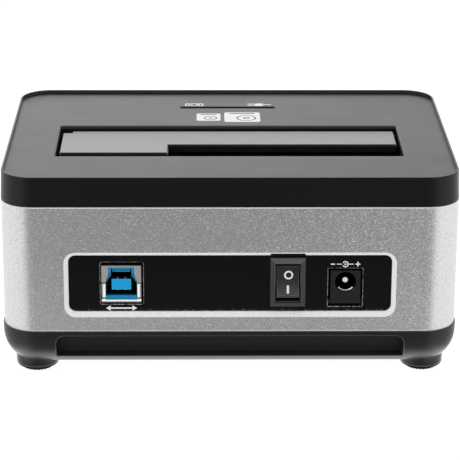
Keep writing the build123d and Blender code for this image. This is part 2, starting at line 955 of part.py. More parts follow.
def usb_contact(x, low, recess):
    """Flat contact along the socket, lying on or under a tongue."""
    near = rear_y + usb_front + recess
    block(
        (x - usb_contact_width / 2, x + usb_contact_width / 2),
        (near, near + usb_contact_length),
        (low, low + usb_contact_wall),
    )


with BuildPart() as usb_contacts:
    for side in (-1, 1):
        x = usb_x + side * usb_contact_pitch / 2
        usb_contact(x, tongue_top, usb_contact_recess)
        usb_contact(x, tongue_low - usb_contact_wall, usb_contact_recess)
    upper_low = upper_top - usb_upper_height - usb_contact_wall
    for number in range(usb_upper_contacts):
        step = usb_upper_width / usb_upper_contacts
        x = usb_x + (number - (usb_upper_contacts - 1) / 2) * step
        usb_contact(x, upper_low, usb_upper_recess + usb_contact_recess)

# Power jack
jack_hole_z = board_top + jack_hole_rise
with BuildPart() as jack_body:
    with BuildSketch(rear(jack_setback)):
        with Locations((jack_x, jack_z)):
            Rectangle(jack_width, jack_height)
    extrude(amount=-jack_depth)
    jack_front = rear_y + jack_setback
    block(
        (jack_x - jack_width / 2, jack_x + jack_width / 2),
        (jack_front, jack_front + jack_flange_wall),
        (board_top - jack_flange_drop, board_top),
    )
    with BuildSketch(rear(jack_setback)):
        with Locations((jack_x, jack_hole_z)):
            Circle(jack_hole)
    extrude(amount=-jack_hole_depth, mode=Mode.SUBTRACT)
    with BuildSketch(rear(jack_setback + jack_hole_depth)):
        with Locations((jack_x, jack_hole_z)):
            Circle(jack_pin_radius + seat_gap)
    extrude(amount=-(jack_depth - jack_hole_depth), mode=Mode.SUBTRACT)

with BuildPart() as jack_pin:
    with BuildSketch(rear(jack_setback + jack_pin_recess)):
        with Locations((jack_x, jack_hole_z)):
            Circle(jack_pin_radius)
    extrude(amount=-(jack_depth - jack_pin_recess))
    fillet(jack_pin.faces().sort_by(Axis.Y)[0].edges(), jack_pin_tip)

with BuildPart() as jack_spring:
    leaf_radius = jack_hole - jack_leaf_gap
    leaf_start = 270 - jack_leaf_spread / 2
    with BuildSketch(rear(jack_setback + jack_leaf_recess)):
        with BuildLine():
            centre = (jack_x, jack_hole_z)
            outer = CenterArc(centre, leaf_radius, leaf_start, jack_leaf_spread)
            inner = CenterArc(centre, leaf_radius - jack_leaf_wall, leaf_start, jack_leaf_spread)
            Line(outer @ 0, inner @ 0)
            Line(outer @ 1, inner @ 1)
        make_face()
    extrude(amount=-(jack_hole_depth - jack_leaf_recess))

# Rocker switch: housing with its bezel, the rocker, two terminals and two leads
body_half_width = switch_body_width / 2
body_half_height = switch_body_height / 2
rocker_half = switch_open_height / 2 - rocker_end_gap
with BuildPart() as switch_housing:
    with BuildSketch(rear(plate_front)):
        with Locations((switch_x, switch_z)):
            Rectangle(bezel_width, bezel_height)
    extrude(amount=plate_front - bezel_front - bezel_fall)
    with BuildSketch(rear(bezel_front + bezel_fall)):
        with Locations((switch_x, switch_z)):
            Rectangle(bezel_width, bezel_height)
    with BuildSketch(rear(bezel_front)):
        with Locations((switch_x, switch_z)):
            Rectangle(switch_open_width + 2 * bezel_land, switch_open_height + 2 * bezel_land)
    loft(ruled=True)
    with BuildSketch(rear(plate_front)):
        with Locations((switch_x, switch_z)):
            Rectangle(switch_body_width, switch_body_height)
    extrude(amount=-switch_body_depth)
    with BuildSketch(rear(0)):
        with Locations((switch_x, switch_z)):
            Rectangle(switch_open_width, switch_open_height)
    extrude(amount=-(bezel_front + bezel_step_depth), mode=Mode.SUBTRACT)
    with BuildSketch(rear(0)):
        with Locations((switch_x, switch_z)):
            Rectangle(switch_open_width - 2 * bezel_step, switch_open_height - 2 * bezel_step)
    extrude(amount=-(plate_front + switch_body_depth - switch_back_wall), mode=Mode.SUBTRACT)
    pivot_y = rear_y + pivot_depth
    cross_bar(
        pivot_y,
        switch_z,
        trunnion_radius + running_gap,
        (switch_x - body_half_width, switch_x + body_half_width),
        Mode.SUBTRACT,
    )
    clip_near = rear_y + plate_front + plate_wall + clip_gap
    for side in (-1, 1):
        clip_zs = sorted(
            (switch_z + side * body_half_height, switch_z + side * (body_half_height + clip_height))
        )
        block(
            (switch_x - clip_width / 2, switch_x + clip_width / 2),
            (clip_near, clip_near + clip_length),
            clip_zs,
        )

# The rocker's front is a shallow V. At rest it is tilted so that its upper half is upright.
rocker_lean = tan(radians(rocker_tilt))
fold_reach = (pivot_depth - rocker_recess - bezel_front) / cos(radians(rocker_tilt))
rocker_face = rocker_half - rocker_bevel
with BuildPart() as switch_rocker:
    forwards = (0, -cos(radians(rocker_tilt)), sin(radians(rocker_tilt)))
    pivot_plane = Plane(
        (switch_x - rocker_width / 2, pivot_y, switch_z), x_dir=forwards, z_dir=(1, 0, 0)
    )
    with BuildSketch(pivot_plane) as rocker_section:
        with BuildLine():
            tip = fold_reach + rocker_face * rocker_lean
            Polyline(
                (fold_reach, 0),
                (tip, rocker_face),
                (tip - rocker_bevel_back, rocker_half),
                (rocker_skirt, rocker_half),
                (rocker_skirt, -rocker_half),
                (tip - rocker_bevel_back, -rocker_half),
                (tip, -rocker_face),
                close=True,
            )
        make_face()
        Circle(pivot_boss)
        with Locations((-plunger_length / 2, 0)):
            Rectangle(plunger_length, 2 * plunger_half)
    extrude(amount=rocker_width)
    cross_bar(
        pivot_y,
        switch_z,
        trunnion_radius,
        (switch_x - trunnion_reach, switch_x + trunnion_reach),
    )

with BuildPart() as switch_terminals:
    for side in (-1, 1):
        z = switch_z + side * terminal_spread
        block(
            (switch_x - terminal_width / 2, switch_x + terminal_width / 2),
            (switch_back, switch_back + terminal_length),
            (z - terminal_wall / 2, z + terminal_wall / 2),
        )

with BuildPart() as switch_leads:
    for side in (-1, 1):
        x = switch_x + side * lead_spread
        z = switch_z - side * terminal_spread
        lead_near = switch_back + terminal_length
        with BuildLine() as lead_route:
            FilletPolyline(
                (x, lead_near, z),
                (x, lead_near + lead_reach, z),
                (x, lead_near + lead_reach, board_top),
                radius=lead_bend,
            )
        with BuildSketch(Plane((x, lead_near, z), x_dir=(1, 0, 0), z_dir=(0, 1, 0))):
            Circle(lead_radius)
        sweep(path=lead_route.wire())

# Drive connector: body with a data slot and a power slot, and a guide post at each end
sata_body_top = board_top + sata_height
sata_slot_low = sata_body_top - sata_slot_depth
with BuildPart() as sata_connector:
    block(
        (sata_x - sata_base_length / 2, sata_x + sata_base_length / 2),
        (sata_y - sata_base_width / 2, sata_y + sata_base_width / 2),
        (board_top, board_top + sata_base_height),
    )
    block(
        (sata_x - sata_length / 2, sata_x + sata_length / 2),
        (sata_y - sata_width / 2, sata_y + sata_width / 2),
        (board_top, sata_body_top),
    )
    for side in (-1, 1):
        x = sata_x + side * (sata_base_length - sata_post_length) / 2
        block(
            (x - sata_post_length / 2, x + sata_post_length / 2),
            (sata_y - sata_width / 2, sata_y + sata_width / 2),
            (board_top, board_top + sata_post_height),
        )
    for centre, length in (
        (sata_x + sata_power_x, sata_power_length),
        (sata_x + sata_signal_x, sata_signal_length),
    ):
        slot_zs = (sata_slot_low, sata_body_top)
        slot_ys = (sata_y - sata_slot_width / 2, sata_y + sata_slot_width / 2)
        block((centre - length / 2, centre + length / 2), slot_ys, slot_zs, Mode.SUBTRACT)
        key_xs = (centre + length / 2 - sata_key_length, centre + length / 2)
        block(key_xs, (slot_ys[0] - sata_key_width, slot_ys[0]), slot_zs, Mode.SUBTRACT)

with BuildPart() as sata_contacts:
    contact_side = sata_y + sata_slot_width / 2
    for centre, count in (
        (sata_x + sata_power_x, sata_power_contacts),
        (sata_x + sata_signal_x, sata_signal_contacts),
    ):
        for number in range(count):
            x = centre + (number - (count - 1) / 2) * sata_contact_pitch
            block(
                (x - sata_contact_width / 2, x + sata_contact_width / 2),
                (contact_side - sata_contact_wall, contact_side),
                (sata_slot_low, sata_slot_low + sata_contact_length),
            )


def on_board(places, length, width, height):
    """Flat-bottomed bodies standing on the board."""
    for x, y in places:
        block(
            (x - length / 2, x + length / 2),
            (y - width / 2, y + width / 2),
            (board_top, board_top + height),
        )


# Parts on the board: low chips under the well, taller ones in front of it
parts_y = (pocket_far + well_wall + light_y) / 2
with BuildPart() as bridge_chip:
    on_board([(chip_x, slot_y)], chip_length, chip_length, chip_height)
    fillet(bridge_chip.edges().filter_by(Axis.Z), chip_edge)

with BuildPart() as flash_chip:
    on_board([(flash_x, slot_y)], flash_length, flash_width, flash_height)
    fillet(flash_chip.edges().filter_by(Axis.Z), chip_edge)

with BuildPart() as crystal:
    on_board([(crystal_x, parts_y)], crystal_length, crystal_width, crystal_height)
    fillet(crystal.edges().filter_by(Axis.Z), crystal_width / 2 - chip_edge)

with BuildPart() as inductors:
    inductor_places = [(x, parts_y) for x in (-inductor_x, inductor_x)]
    on_board(inductor_places, inductor_length, inductor_length, inductor_height)
    fillet(inductors.edges().filter_by(Axis.Z), inductor_edge)
    inductor_top = board_top + inductor_height
    posts(
        inductor_places,
        inductor_core,
        inductor_top - inductor_core_height,
        inductor_top,
        Mode.SUBTRACT,
    )

with BuildPart() as can_capacitors:
    can_places = [(x, parts_y) for x in (-can_x, can_x)]
    can_top = board_top + can_foot_height + can_height
    posts(can_places, can_radius, board_top + can_foot_height, can_top)
    fillet(can_capacitors.edges().group_by(Axis.Z)[-1], can_edge)

with BuildPart() as capacitor_feet:
    on_board(can_places, can_foot, can_foot, can_foot_height)

ceramic_y = slot_y + ceramic_setback
with BuildPart() as ceramic_parts:
    for number in range(ceramic_count):
        x = ceramic_x + (number - (ceramic_count - 1) / 2) * ceramic_pitch
        ceramic_places = [(x, ceramic_y + row * ceramic_row_pitch) for row in (0, 1)]
        on_board(ceramic_places, ceramic_length, ceramic_width, ceramic_height)

pieces = {
    "top_cover": top_cover,
    "aluminium_shell": aluminium_shell,
    "base_tray": base_tray,
    "rubber_feet": rubber_feet,
    "case_screws": case_screws,
    "rear_plate": rear_plate,
    "drive_well": drive_well,
    "well_screws": well_screws,
    "door_panel": door_panel,
    "door_plate": door_plate,
    "door_hinge_pin": door_hinge_pin,
    "door_spring": door_spring,
    "light_guide": light_guide,
    "status_leds": status_leds,
    "main_board": main_board,
    "board_screws": board_screws,
    "usb_shell": usb_shell,
    "usb_insulator": usb_insulator,
    "usb_contacts": usb_contacts,
    "jack_body": jack_body,
    "jack_pin": jack_pin,
    "jack_spring": jack_spring,
    "switch_housing": switch_housing,
    "switch_rocker": switch_rocker,
    "switch_terminals": switch_terminals,
    "switch_leads": switch_leads,
    "sata_connector": sata_connector,
    "sata_contacts": sata_contacts,
    "bridge_chip": bridge_chip,
    "flash_chip": flash_chip,
    "crystal": crystal,
    "inductors": inductors,
    "can_capacitors": can_capacitors,
    "capacitor_feet": capacitor_feet,
    "ceramic_parts": ceramic_parts,
}
for name, piece in pieces.items():
    piece.part.label = name
    export_step(piece.part, "parts/" + name + ".step")
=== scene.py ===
import json
import math
from collections import namedtuple
from functools import cached_property

import bmesh
import bpy
from bpy.props import FloatProperty, FloatVectorProperty, PointerProperty
from bpy.types import Operator, Panel, PropertyGroup
from mathutils import Matrix, Vector


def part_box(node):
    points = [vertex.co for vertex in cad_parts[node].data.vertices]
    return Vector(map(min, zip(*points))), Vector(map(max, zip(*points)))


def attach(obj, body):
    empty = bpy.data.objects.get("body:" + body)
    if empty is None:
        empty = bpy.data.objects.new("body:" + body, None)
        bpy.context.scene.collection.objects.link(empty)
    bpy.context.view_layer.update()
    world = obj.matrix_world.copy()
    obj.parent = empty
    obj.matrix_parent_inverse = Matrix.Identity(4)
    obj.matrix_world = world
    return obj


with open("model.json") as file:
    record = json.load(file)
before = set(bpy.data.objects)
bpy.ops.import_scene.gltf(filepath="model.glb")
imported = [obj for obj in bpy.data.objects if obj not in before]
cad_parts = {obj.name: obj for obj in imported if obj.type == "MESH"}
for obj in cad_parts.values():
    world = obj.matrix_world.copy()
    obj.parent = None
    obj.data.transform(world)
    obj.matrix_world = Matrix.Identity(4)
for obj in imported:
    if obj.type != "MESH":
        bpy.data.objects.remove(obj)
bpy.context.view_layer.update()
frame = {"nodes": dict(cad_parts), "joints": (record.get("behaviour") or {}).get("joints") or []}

bl_info = {
    "name": "Drive Dock",
    "version": (1, 0, 0),
    "blender": (4, 5, 0),
    "location": "View3D > Sidebar > Drive Dock",
    "description": "Dresses the hard drive docking station in its materials, prints and studio",
    "category": "Object",
}

NODES = frame["nodes"]
JOINTS = {joint["name"]: joint for joint in frame["joints"]}
MM = 0.001

Axes = namedtuple("Axes", "x y z")


# Shader maths


class Link:
    """A node's output socket. Python's arithmetic on links adds the nodes that it needs."""

    def __init__(self, graph, socket):
        self.graph = graph
        self.socket = socket

    def maths(self, operation, *terms):
        """A Math node, or a Vector Math node where any term is a vector or a colour."""
        wide = any(isinstance(term, Link) and term.socket.type != "VALUE" for term in terms)
        if wide:
            terms = [grey(term) if isinstance(term, (int, float)) else term for term in terms]
        kind = "ShaderNodeVectorMath" if wide else "ShaderNodeMath"
        return self.graph.node(kind, {"operation": operation}, dict(enumerate(terms)))

    def __add__(self, other):
        return self.maths("ADD", self, other)

    def __radd__(self, other):
        return self.maths("ADD", other, self)

    def __sub__(self, other):
        return self.maths("SUBTRACT", self, other)

    def __rsub__(self, other):
        return self.maths("SUBTRACT", other, self)

    def __mul__(self, other):
        return self.maths("MULTIPLY", self, other)

    def __rmul__(self, other):
        return self.maths("MULTIPLY", other, self)

    def __truediv__(self, other):
        return self.maths("DIVIDE", self, other)

    def higher(self, other):
        """The larger of two values."""
        return self.maths("MAXIMUM", self, other)

    def lower(self, other):
        """The smaller of two values."""
        return self.maths("MINIMUM", self, other)

    def size(self):
        """The value without its sign."""
        return self.maths("ABSOLUTE", self)

    def ramp(self, low, high, start=0.0, end=1.0):
        """Smooth step from start to end as the value goes from low to high."""
        return self.graph.node(
            "ShaderNodeMapRange",
            {"interpolation_type": "SMOOTHSTEP"},
            {"Value": self, "From Min": low, "From Max": high, "To Min": start, "To Max": end},
        )

    def over(self, level, blur=0):
        """1 over a level and 0 under it, with a step that is soft by so much either side."""
        if blur:
            return self.ramp(level - blur, level + blur)
        return self.maths("GREATER_THAN", self, level)

    def under(self, level, blur):
        """1 under a level and 0 over it, with a step that is soft by so much either side."""
        return self.ramp(level + blur, level - blur)

    def within(self, low, high, blur=0.00003):
        """1 between two levels, with soft ends."""
        return self.over(low, blur) * self.under(high, blur)


class Graph:
    """A node tree being built."""

    def __init__(self, tree):
        self.tree = tree
        tree.nodes.clear()

    def node(self, kind, settings=None, sockets=None, output=0):
        """Adds a node: its settings first, then its sockets' values or links. Returns an output."""
        node = self.tree.nodes.new(kind)
        for key, value in (settings or {}).items():
            setattr(node, key, value)
        for key, value in (sockets or {}).items():
            self.plug(self.find(node.inputs, key), value)
        return Link(self, self.find(node.outputs, output)) if node.outputs else None

    @staticmethod
    def find(sockets, key):
        """The socket of that name or number, among those in use."""
        used = [socket for socket in sockets if socket.enabled]
        return used[key] if isinstance(key, int) else next(x for x in used if x.name == key)

    def plug(self, socket, value):
        """Links a socket to a link, or sets its value."""
        if isinstance(value, Link):
            self.tree.links.new(value.socket, socket)
        elif socket.type == "RGBA" and len(value) == 3:
            socket.default_value = (*value, 1.0)
        else:
            socket.default_value = value

    def mix(self, share, first, second):
        """Colour between two colours."""
        return self.node(
            "ShaderNodeMix", {"data_type": "RGBA"}, {"Factor": share, "A": first, "B": second}
        )

    def split(self, vector):
        """The three parts of a vector or a colour."""
        first = self.node("ShaderNodeSeparateXYZ", None, {0: vector})
        return Axes(*(Link(self, socket) for socket in first.socket.node.outputs))


class Finish(Graph):
    """A material with one Principled shader, placed in the part's own frame in metres."""

    def __init__(self, name, **constants):
        self.material = bpy.data.materials.new(name)
        self.material.use_nodes = True
        super().__init__(self.material.node_tree)
        self.shader = self.node("ShaderNodeBsdfPrincipled").socket.node
        self.node("ShaderNodeOutputMaterial", None, {"Surface": Link(self, self.shader.outputs[0])})
        self.place = self.node("ShaderNodeTexCoord", output="Object")
        self.set(**constants)

    def set(self, **sockets):
        """Sets or links the shader's sockets, named with underscores."""
        for key, value in sockets.items():
            name = key.replace("_", " ").title().replace("Ior", "IOR")
            self.plug(self.shader.inputs[name], value)

    def noise(self, scale, detail=2.0, roughness=0.5, stretch=(1, 1, 1)):
        """Noise of so many cells to a metre."""
        place = self.place if stretch == (1, 1, 1) else self.place * stretch
        return self.node(
            "ShaderNodeTexNoise",
            None,
            {"Vector": place, "Scale": scale, "Detail": detail, "Roughness": roughness},
        )

    def cells(self, scale, output="Color"):
        """Random colour of each of so many cells to a metre."""
        return self.node(
            "ShaderNodeTexVoronoi", None, {"Vector": self.place, "Scale": scale}, output=output
        )

    @cached_property
    def at(self):
        """Where the surface is, in metres: across the dock, through its depth, and up."""
        return self.split(self.place)

    @cached_property
    def outward(self):
        """The direction that the surface faces, before any bump or rounding."""
        return self.node("ShaderNodeNewGeometry", output="True Normal")

    def edges(self, radius):
        """1 along sharp edges, fading to 0 at a radius from them."""
        rounded = self.node("ShaderNodeBevel", {"samples": 6}, {"Radius": radius})
        both = {0: rounded, 1: self.outward}
        along = self.node("ShaderNodeVectorMath", {"operation": "DOT_PRODUCT"}, both, "Value")
        return along.ramp(0.98, 0.86)

    def layered(self, body, dull, layers):
        """Colour and roughness with each layer's mask, colour and roughness laid over them."""
        for mask, colour, roughness in layers:
            share = mask(self)
            body = self.mix(share, body, colour)
            dull = dull + share * (roughness - dull)
        return body, dull

    def relief(self, *layers, edge=None):
        """Feeds Normal with height layers, each (height, depth in metres), over rounded edges."""
        normal = None
        radius = sizes().edge_round if edge is None else edge
        if radius:
            normal = self.node("ShaderNodeBevel", {"samples": 6}, {"Radius": radius})
        for height, depth in layers:
            sockets = {"Height": height, "Distance": depth, "Strength": 1.0}
            if normal:
                sockets["Normal"] = normal
            normal = self.node("ShaderNodeBump", None, sockets)
        self.set(normal=normal)
        return normal


def sizes():
    return bpy.context.scene.dock_sizes


def colours():
    return bpy.context.scene.dock_colours


def grey(tone):
    return (tone, tone, tone)


def tinted(colour, factor):
    """A colour that is lighter or darker by a factor."""
    return tuple(min(part * factor, 1) for part in colour)


def window():
    """Lowest and highest corner of the rear window, on the face of the plate behind it."""
    low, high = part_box("rear_plate")
    near = 0.0001
    places = [vertex.co for vertex in NODES["aluminium_shell"].data.vertices]
    rim = [place for place in places if abs(place.y - low.y) < near and low.z < place.z < high.z]
    return [Vector(pick(place[axis] for place in rim) for axis in range(3)) for pick in (min, max)]


def paint(finish, *names):
    """Gives CAD nodes a finish in all their material slots."""
    for name in names:
        for slot in NODES[name].material_slots:
            slot.material = finish.material


# Finishes


def edge_highlight(radius, share):
    """A layer's mask for a painted highlight along sharp edges, over a radius, in part."""
    return lambda finish: finish.edges(radius) * share


def moulded_plastic(
    name,
    colour,
    roughness,
    texture=7000,
    depth=0.000006,
    mottle=0.05,
    edge=None,
    gloss=0.5,
    layers=(),
    shape=None,
):
    """Moulded plastic with a spark-eroded texture and handling marks, under layers of tone."""
    finish = Finish(name, specular_ior_level=gloss)
    grain = finish.noise(texture, 3.0, 0.6)
    smear = finish.noise(60, 4.0, 0.55, (1, 1.6, 1.6))
    speck = finish.noise(1400, 2.0)
    tone = 1 + (grain - 0.5) * 0.25 + (speck - 0.5) * 0.2
    body = finish.mix(tone * 0.5, tinted(colour, 0.8), tinted(colour, 1.2))
    dull = roughness + (smear - 0.5) * (2 * mottle) + (grain - 0.5) * 0.08
    body, dull = finish.layered(body, dull, layers)
    finish.set(base_color=body, roughness=dull)
    forms = [(shape(finish), 1.0)] if shape else []
    finish.relief(*forms, (grain, depth), edge=edge)
    return finish


def blasted_metal(name, colour, roughness, flakes, edge, sparkle=0.0, cut=None, painted_shadow=None):
    """Bead-blasted aluminium with dimples that catch light and painted glints, a cut mask painted
    as a pale highlight, and a painted shadow on it.
    """
    finish = Finish(name, metallic=1.0)
    dimples = finish.noise(5200, 3.0, 0.65)
    broad = finish.noise(900, 3.0, 0.6)
    random = finish.cells(7600)
    red, green, blue = finish.split(random)
    glint = red.ramp(0.84, 0.98)
    shade = 0.5 + (dimples - 0.5) * 1.5 + (blue - 0.5) * 0.5 + (broad - 0.5) * 0.4
    body = finish.mix(shade, tinted(colour, 1 - flakes), tinted(colour, 1 + flakes))
    # Painted glints: a few random cells get a lighter colour; with sparkle, their normals tilt too.
    body = finish.mix(glint * 0.8, body, tinted(colour, 1 + 3.2 * flakes))
    dull = roughness + (green - 0.5) * 0.16
    # The cut mask is a painted highlight: pale, not metal, broken by scratches.
    if cut:
        share = cut(finish)
        scratch = finish.noise(2600, 4.0, 0.7, (1, 3, 3)).ramp(0.36, 0.54)
        patchy_highlight = finish.mix(scratch, grey(0.72), grey(1))
        # Where the painted shadow falls, the cut's pale highlight turns near black.
        body = finish.mix(share, body, finish.mix(painted_shadow(finish), patchy_highlight, grey(0.003)))
        dull = dull + share * (0.55 - roughness)
        finish.set(metallic=1 - share)
        glint = glint * (1 - share)
    finish.set(base_color=body, roughness=dull)
    plain = finish.relief((dimples, 0.00002), (random, 0.000012), edge=edge)
    if sparkle:
        finish.set(normal=plain + (random - 0.5) * (glint * sparkle))
    return finish


def bright_metal(name, colour, roughness, stretch=(1, 1, 1), edge=0.00008, white=None, dark=None):
    """Plated or drawn metal with fine streaks along its length, a mask of white for painted
    highlights, and a mask of dark.
    """
    finish = Finish(name, metallic=1.0)
    streak = finish.noise(2500, 3.0, 0.6, stretch)
    tarnish = finish.noise(350, 3.0)
    speck = finish.noise(3600, 2.0)
    bright = tarnish * 0.5 + speck.ramp(0.35, 0.65) * 0.5
    body = finish.mix(bright, tinted(colour, 0.7), colour)
    if dark:
        body = finish.mix(dark(finish), body, grey(0.01))
    if white:
        share = white(finish)
        body = finish.mix(share, body, (1, 1, 0.97))
        finish.set(metallic=1 - share)
    finish.set(base_color=body, roughness=roughness + (streak - 0.5) * 0.2)
    finish.relief((streak, 0.000003), edge=edge)
    return finish


def clear_plastic(name, colour, roughness, edge=0.00005, gloss=0.5, layers=()):
    """Glossy moulding with faint unevenness, under layers of other tones."""
    finish = Finish(name, specular_ior_level=gloss)
    wave = finish.noise(700, 2.0)
    fine = finish.noise(5000, 2.0)
    body = finish.mix(wave, tinted(colour, 0.88), colour)
    body, dull = finish.layered(body, roughness + (fine - 0.5) * 0.1, layers)
    finish.set(base_color=body, roughness=dull)
    finish.relief((fine, 0.000002), edge=edge)
    return finish


def solder_mask(name, colour):
    """Printed circuit board: lacquer over tracks and round vias."""
    finish = Finish(name, coat_weight=0.4, coat_roughness=0.15)
    bend = (finish.noise(90, 0.0) - 0.5) * 0.004
    place = finish.place + finish.node("ShaderNodeCombineXYZ", None, {"X": bend})
    bands = {"wave_type": "BANDS", "bands_direction": "X"}
    lane = finish.node("ShaderNodeTexWave", bands, {"Vector": place, "Scale": 190})
    red, green, blue = finish.split(finish.cells(110))
    track = lane.ramp(0.55, 0.7) * red.over(0.45)
    vias = finish.cells(420, "Distance").under(0.00015, 0.00005) * green.over(0.7)
    board = finish.mix(track, colour, tinted(colour, 1.9))
    board = finish.mix(vias, board, (0.5, 0.42, 0.24))
    finish.set(base_color=board, roughness=0.35 - track * 0.05)
    finish.relief((track, 0.00003), edge=0.0001)
    return finish


# Prints: thin closed shapes that stand a hair proud of their surface


def arc(centre, radius, start, end, steps=40):
    """Points of an arc between two angles in degrees."""
    turn = [math.radians(start + (end - start) * step / steps) for step in range(steps + 1)]
    return [(centre[0] + radius * math.cos(a), centre[1] + radius * math.sin(a)) for a in turn]


def ring(centre, radius, width, start=0.0, end=360.0):
    """A ring, or part of one."""
    if end - start >= 360:
        outer = arc(centre, radius + width / 2, 0, 360)[:-1]
        inner = arc(centre, radius - width / 2, 0, 360)[:-1]
        return [[outer, inner]]
    edge = arc(centre, radius + width / 2, start, end) + arc(centre, radius - width / 2, end, start)
    return [[edge]]


def patch(*corners):
    """A shape with straight sides."""
    return [[list(corners)]]


def bar(first, second, width):
    """A straight stroke."""
    along = Vector((second[0] - first[0], second[1] - first[1])).normalized() * (width / 2)
    side = (-along.y, along.x)
    return patch(
        (first[0] + side[0], first[1] + side[1]),
        (first[0] - side[0], first[1] - side[1]),
        (second[0] - side[0], second[1] - side[1]),
        (second[0] + side[0], second[1] + side[1]),
    )


def tile(centre, length, height, corner):
    """A rounded rectangle."""
    points = []
    for x, y, start in ((1, 1, 0), (-1, 1, 90), (-1, -1, 180), (1, -1, 270)):
        middle = (centre[0] + x * (length / 2 - corner), centre[1] + y * (height / 2 - corner))
        points += arc(middle, corner, start, start + 90, 8)
    return [[points]]


def holed(shape, *holes):
    """A shape with the outlines of others cut out of it."""
    return [[outline for part in (shape, *holes) for group in part for outline in group]]


def border(centre, length, height, corner, width):
    """A rounded rectangle's border."""
    inner = tile(centre, length - 2 * width, height - 2 * width, max(corner - width, 0.05))
    return holed(tile(centre, length, height, corner), inner)


def filled(outlines):
    """Mesh of one flat shape (mm) with its thickness, filled between its outlines."""
    line = bpy.data.curves.new("outline", "CURVE")
    line.dimensions = "2D"
    line.fill_mode = "BOTH"
    for outline in outlines:
        spline = line.splines.new("POLY")
        spline.points.add(len(outline) - 1)
        for point, (x, y) in zip(spline.points, outline):
            point.co = (x * MM, y * MM, 0, 1)
        spline.use_cyclic_u = True
    line.extrude = sizes().print_depth / 2
    drawn = bpy.data.objects.new("outline", line)
    bpy.context.collection.objects.link(drawn)
    bpy.context.view_layer.update()
    solid = drawn.evaluated_get(bpy.context.evaluated_depsgraph_get())
    mesh = bpy.data.meshes.new_from_object(solid)
    bpy.data.objects.remove(drawn)
    return mesh


def printed(name, shapes, origin, right, up, finish, body, proud=None):
    """A print on the plane through origin (mm), whose shapes (mm) run along right and up."""
    joined = bmesh.new()
    for outlines in shapes:
        joined.from_mesh(filled(outlines))
    mesh = bpy.data.meshes.new(name)
    joined.to_mesh(mesh)
    joined.free()
    x, y = Vector(right).normalized(), Vector(up).normalized()
    z = x.cross(y)
    rise = (sizes().print_proud if proud is None else proud) - sizes().print_depth / 2
    place = Matrix.Identity(4)
    for row in range(3):
        place[row][0], place[row][1], place[row][2] = x[row], y[row], z[row]
        place[row][3] = origin[row] * MM + z[row] * rise
    mesh.transform(place)
    mesh.materials.clear()
    mesh.materials.append(finish.material)
    piece = bpy.data.objects.new(name, mesh)
    bpy.context.scene.collection.objects.link(piece)
    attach(piece, body)


def white_ink(name):
    """Screen-printed white ink, a little uneven in its cover."""
    finish = Finish(name, specular_ior_level=0.35)
    spread = finish.noise(3800, 3.0, 0.6)
    ink = colours().print_white
    finish.set(base_color=finish.mix(spread, tinted(ink, 0.8), ink), roughness=0.5 + spread * 0.1)
    finish.relief((spread, 0.000002), edge=0.0)
    return finish


# Operators


class DOCK_OT_cover(Operator):
    """Dress the top cover in satin black and print its marks"""

    bl_idname = "dock.cover"
    bl_label = "Top cover"

    def execute(self, context):
        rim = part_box("top_cover")[1]
        face = rim.z - sizes().rim_height
        skirt = 0.004
        slots_end = rim.y * 0.75

        def shaded_slot_walls(finish):
            """Painted shade on the walls of the drive slot and of the light slot, below the cover's
            face.
            """
            at = finish.at
            inside = at.x.size().under(rim.x - skirt + 0.0005, 0.0005)
            inside = inside * (slots_end - at.y.size()).over(0)
            return at.z.under(face - 0.0003, 0.0002) * inside

        def lit_far_walls(finish):
            """Painted light on the far walls of the rim and of the slot, near the cover's face,
            where they face forward.
            """
            at, facing = finish.at, finish.split(finish.outward)
            return facing.y.ramp(-0.3, -0.6) * at.y.over(0) * at.z.over(face - 0.00095, 0.00005)

        # Layers: painted shade in the slots, painted light on the far walls, and a painted
        # highlight along the edges.
        layers = (
            (shaded_slot_walls, grey(0.002), 0.85),
            (lit_far_walls, grey(0.04), 0.4),
            (edge_highlight(0.00025, 0.5), grey(0.045), 0.4),
        )
        black = moulded_plastic(
            "satin_black", colours().cover, 0.34, 6500, gloss=0.28, layers=layers
        )
        paint(black, "top_cover")
        ink = white_ink("cover_print")
        seen = {"right": (-1, 0, 0), "up": (0, -1, 0), "finish": ink, "body": "housing"}
        top = face / MM
        by_lights, by_slot = 32.2, 18.1
        thin = sizes().print_stroke / MM
        drive = border((0, 0), 5.9, 2.9, 0.6, thin * 1.5) + ring((-1.2, 0), 0.5, thin * 1.5)
        drive += bar((0.5, 0), (2.0, 0), thin * 2)
        printed("drive_mark", drive, (-10.8, by_lights, top), **seen)
        plug = bar((-3.9, 0), (-1.3, 0), thin * 2) + tile((0, 0), 2.8, 2.7, 0.6)
        for prong in (0.75, -0.75):
            plug += bar((1.35, prong), (3.7, prong), thin * 2)
        printed("power_mark", plug, (10.15, by_lights, top), **seen)
        large_disc, small_disc = (-1.3, 1.0), (-0.6, 1.0)
        large = holed(
            tile((0, 0), 11.4, 10.6, 1.0),
            ring(large_disc, 2.9, 0.5),
            ring(large_disc, 0.8, 0.5),
            tile((0, -4.1), 8.0, 0.9, 0.3),
        )
        printed("large_drive_mark", large, (4.5, by_slot, top), **seen)
        small = holed(
            tile((0, 0), 7.6, 8.0, 0.8),
            ring(small_disc, 1.9, 0.45),
            ring(small_disc, 0.5, 0.4),
            tile((0, -2.9), 5.2, 0.8, 0.25),
        )
        printed("small_drive_mark", small, (-6.2, by_slot, top), **seen)
        return {"FINISHED"}


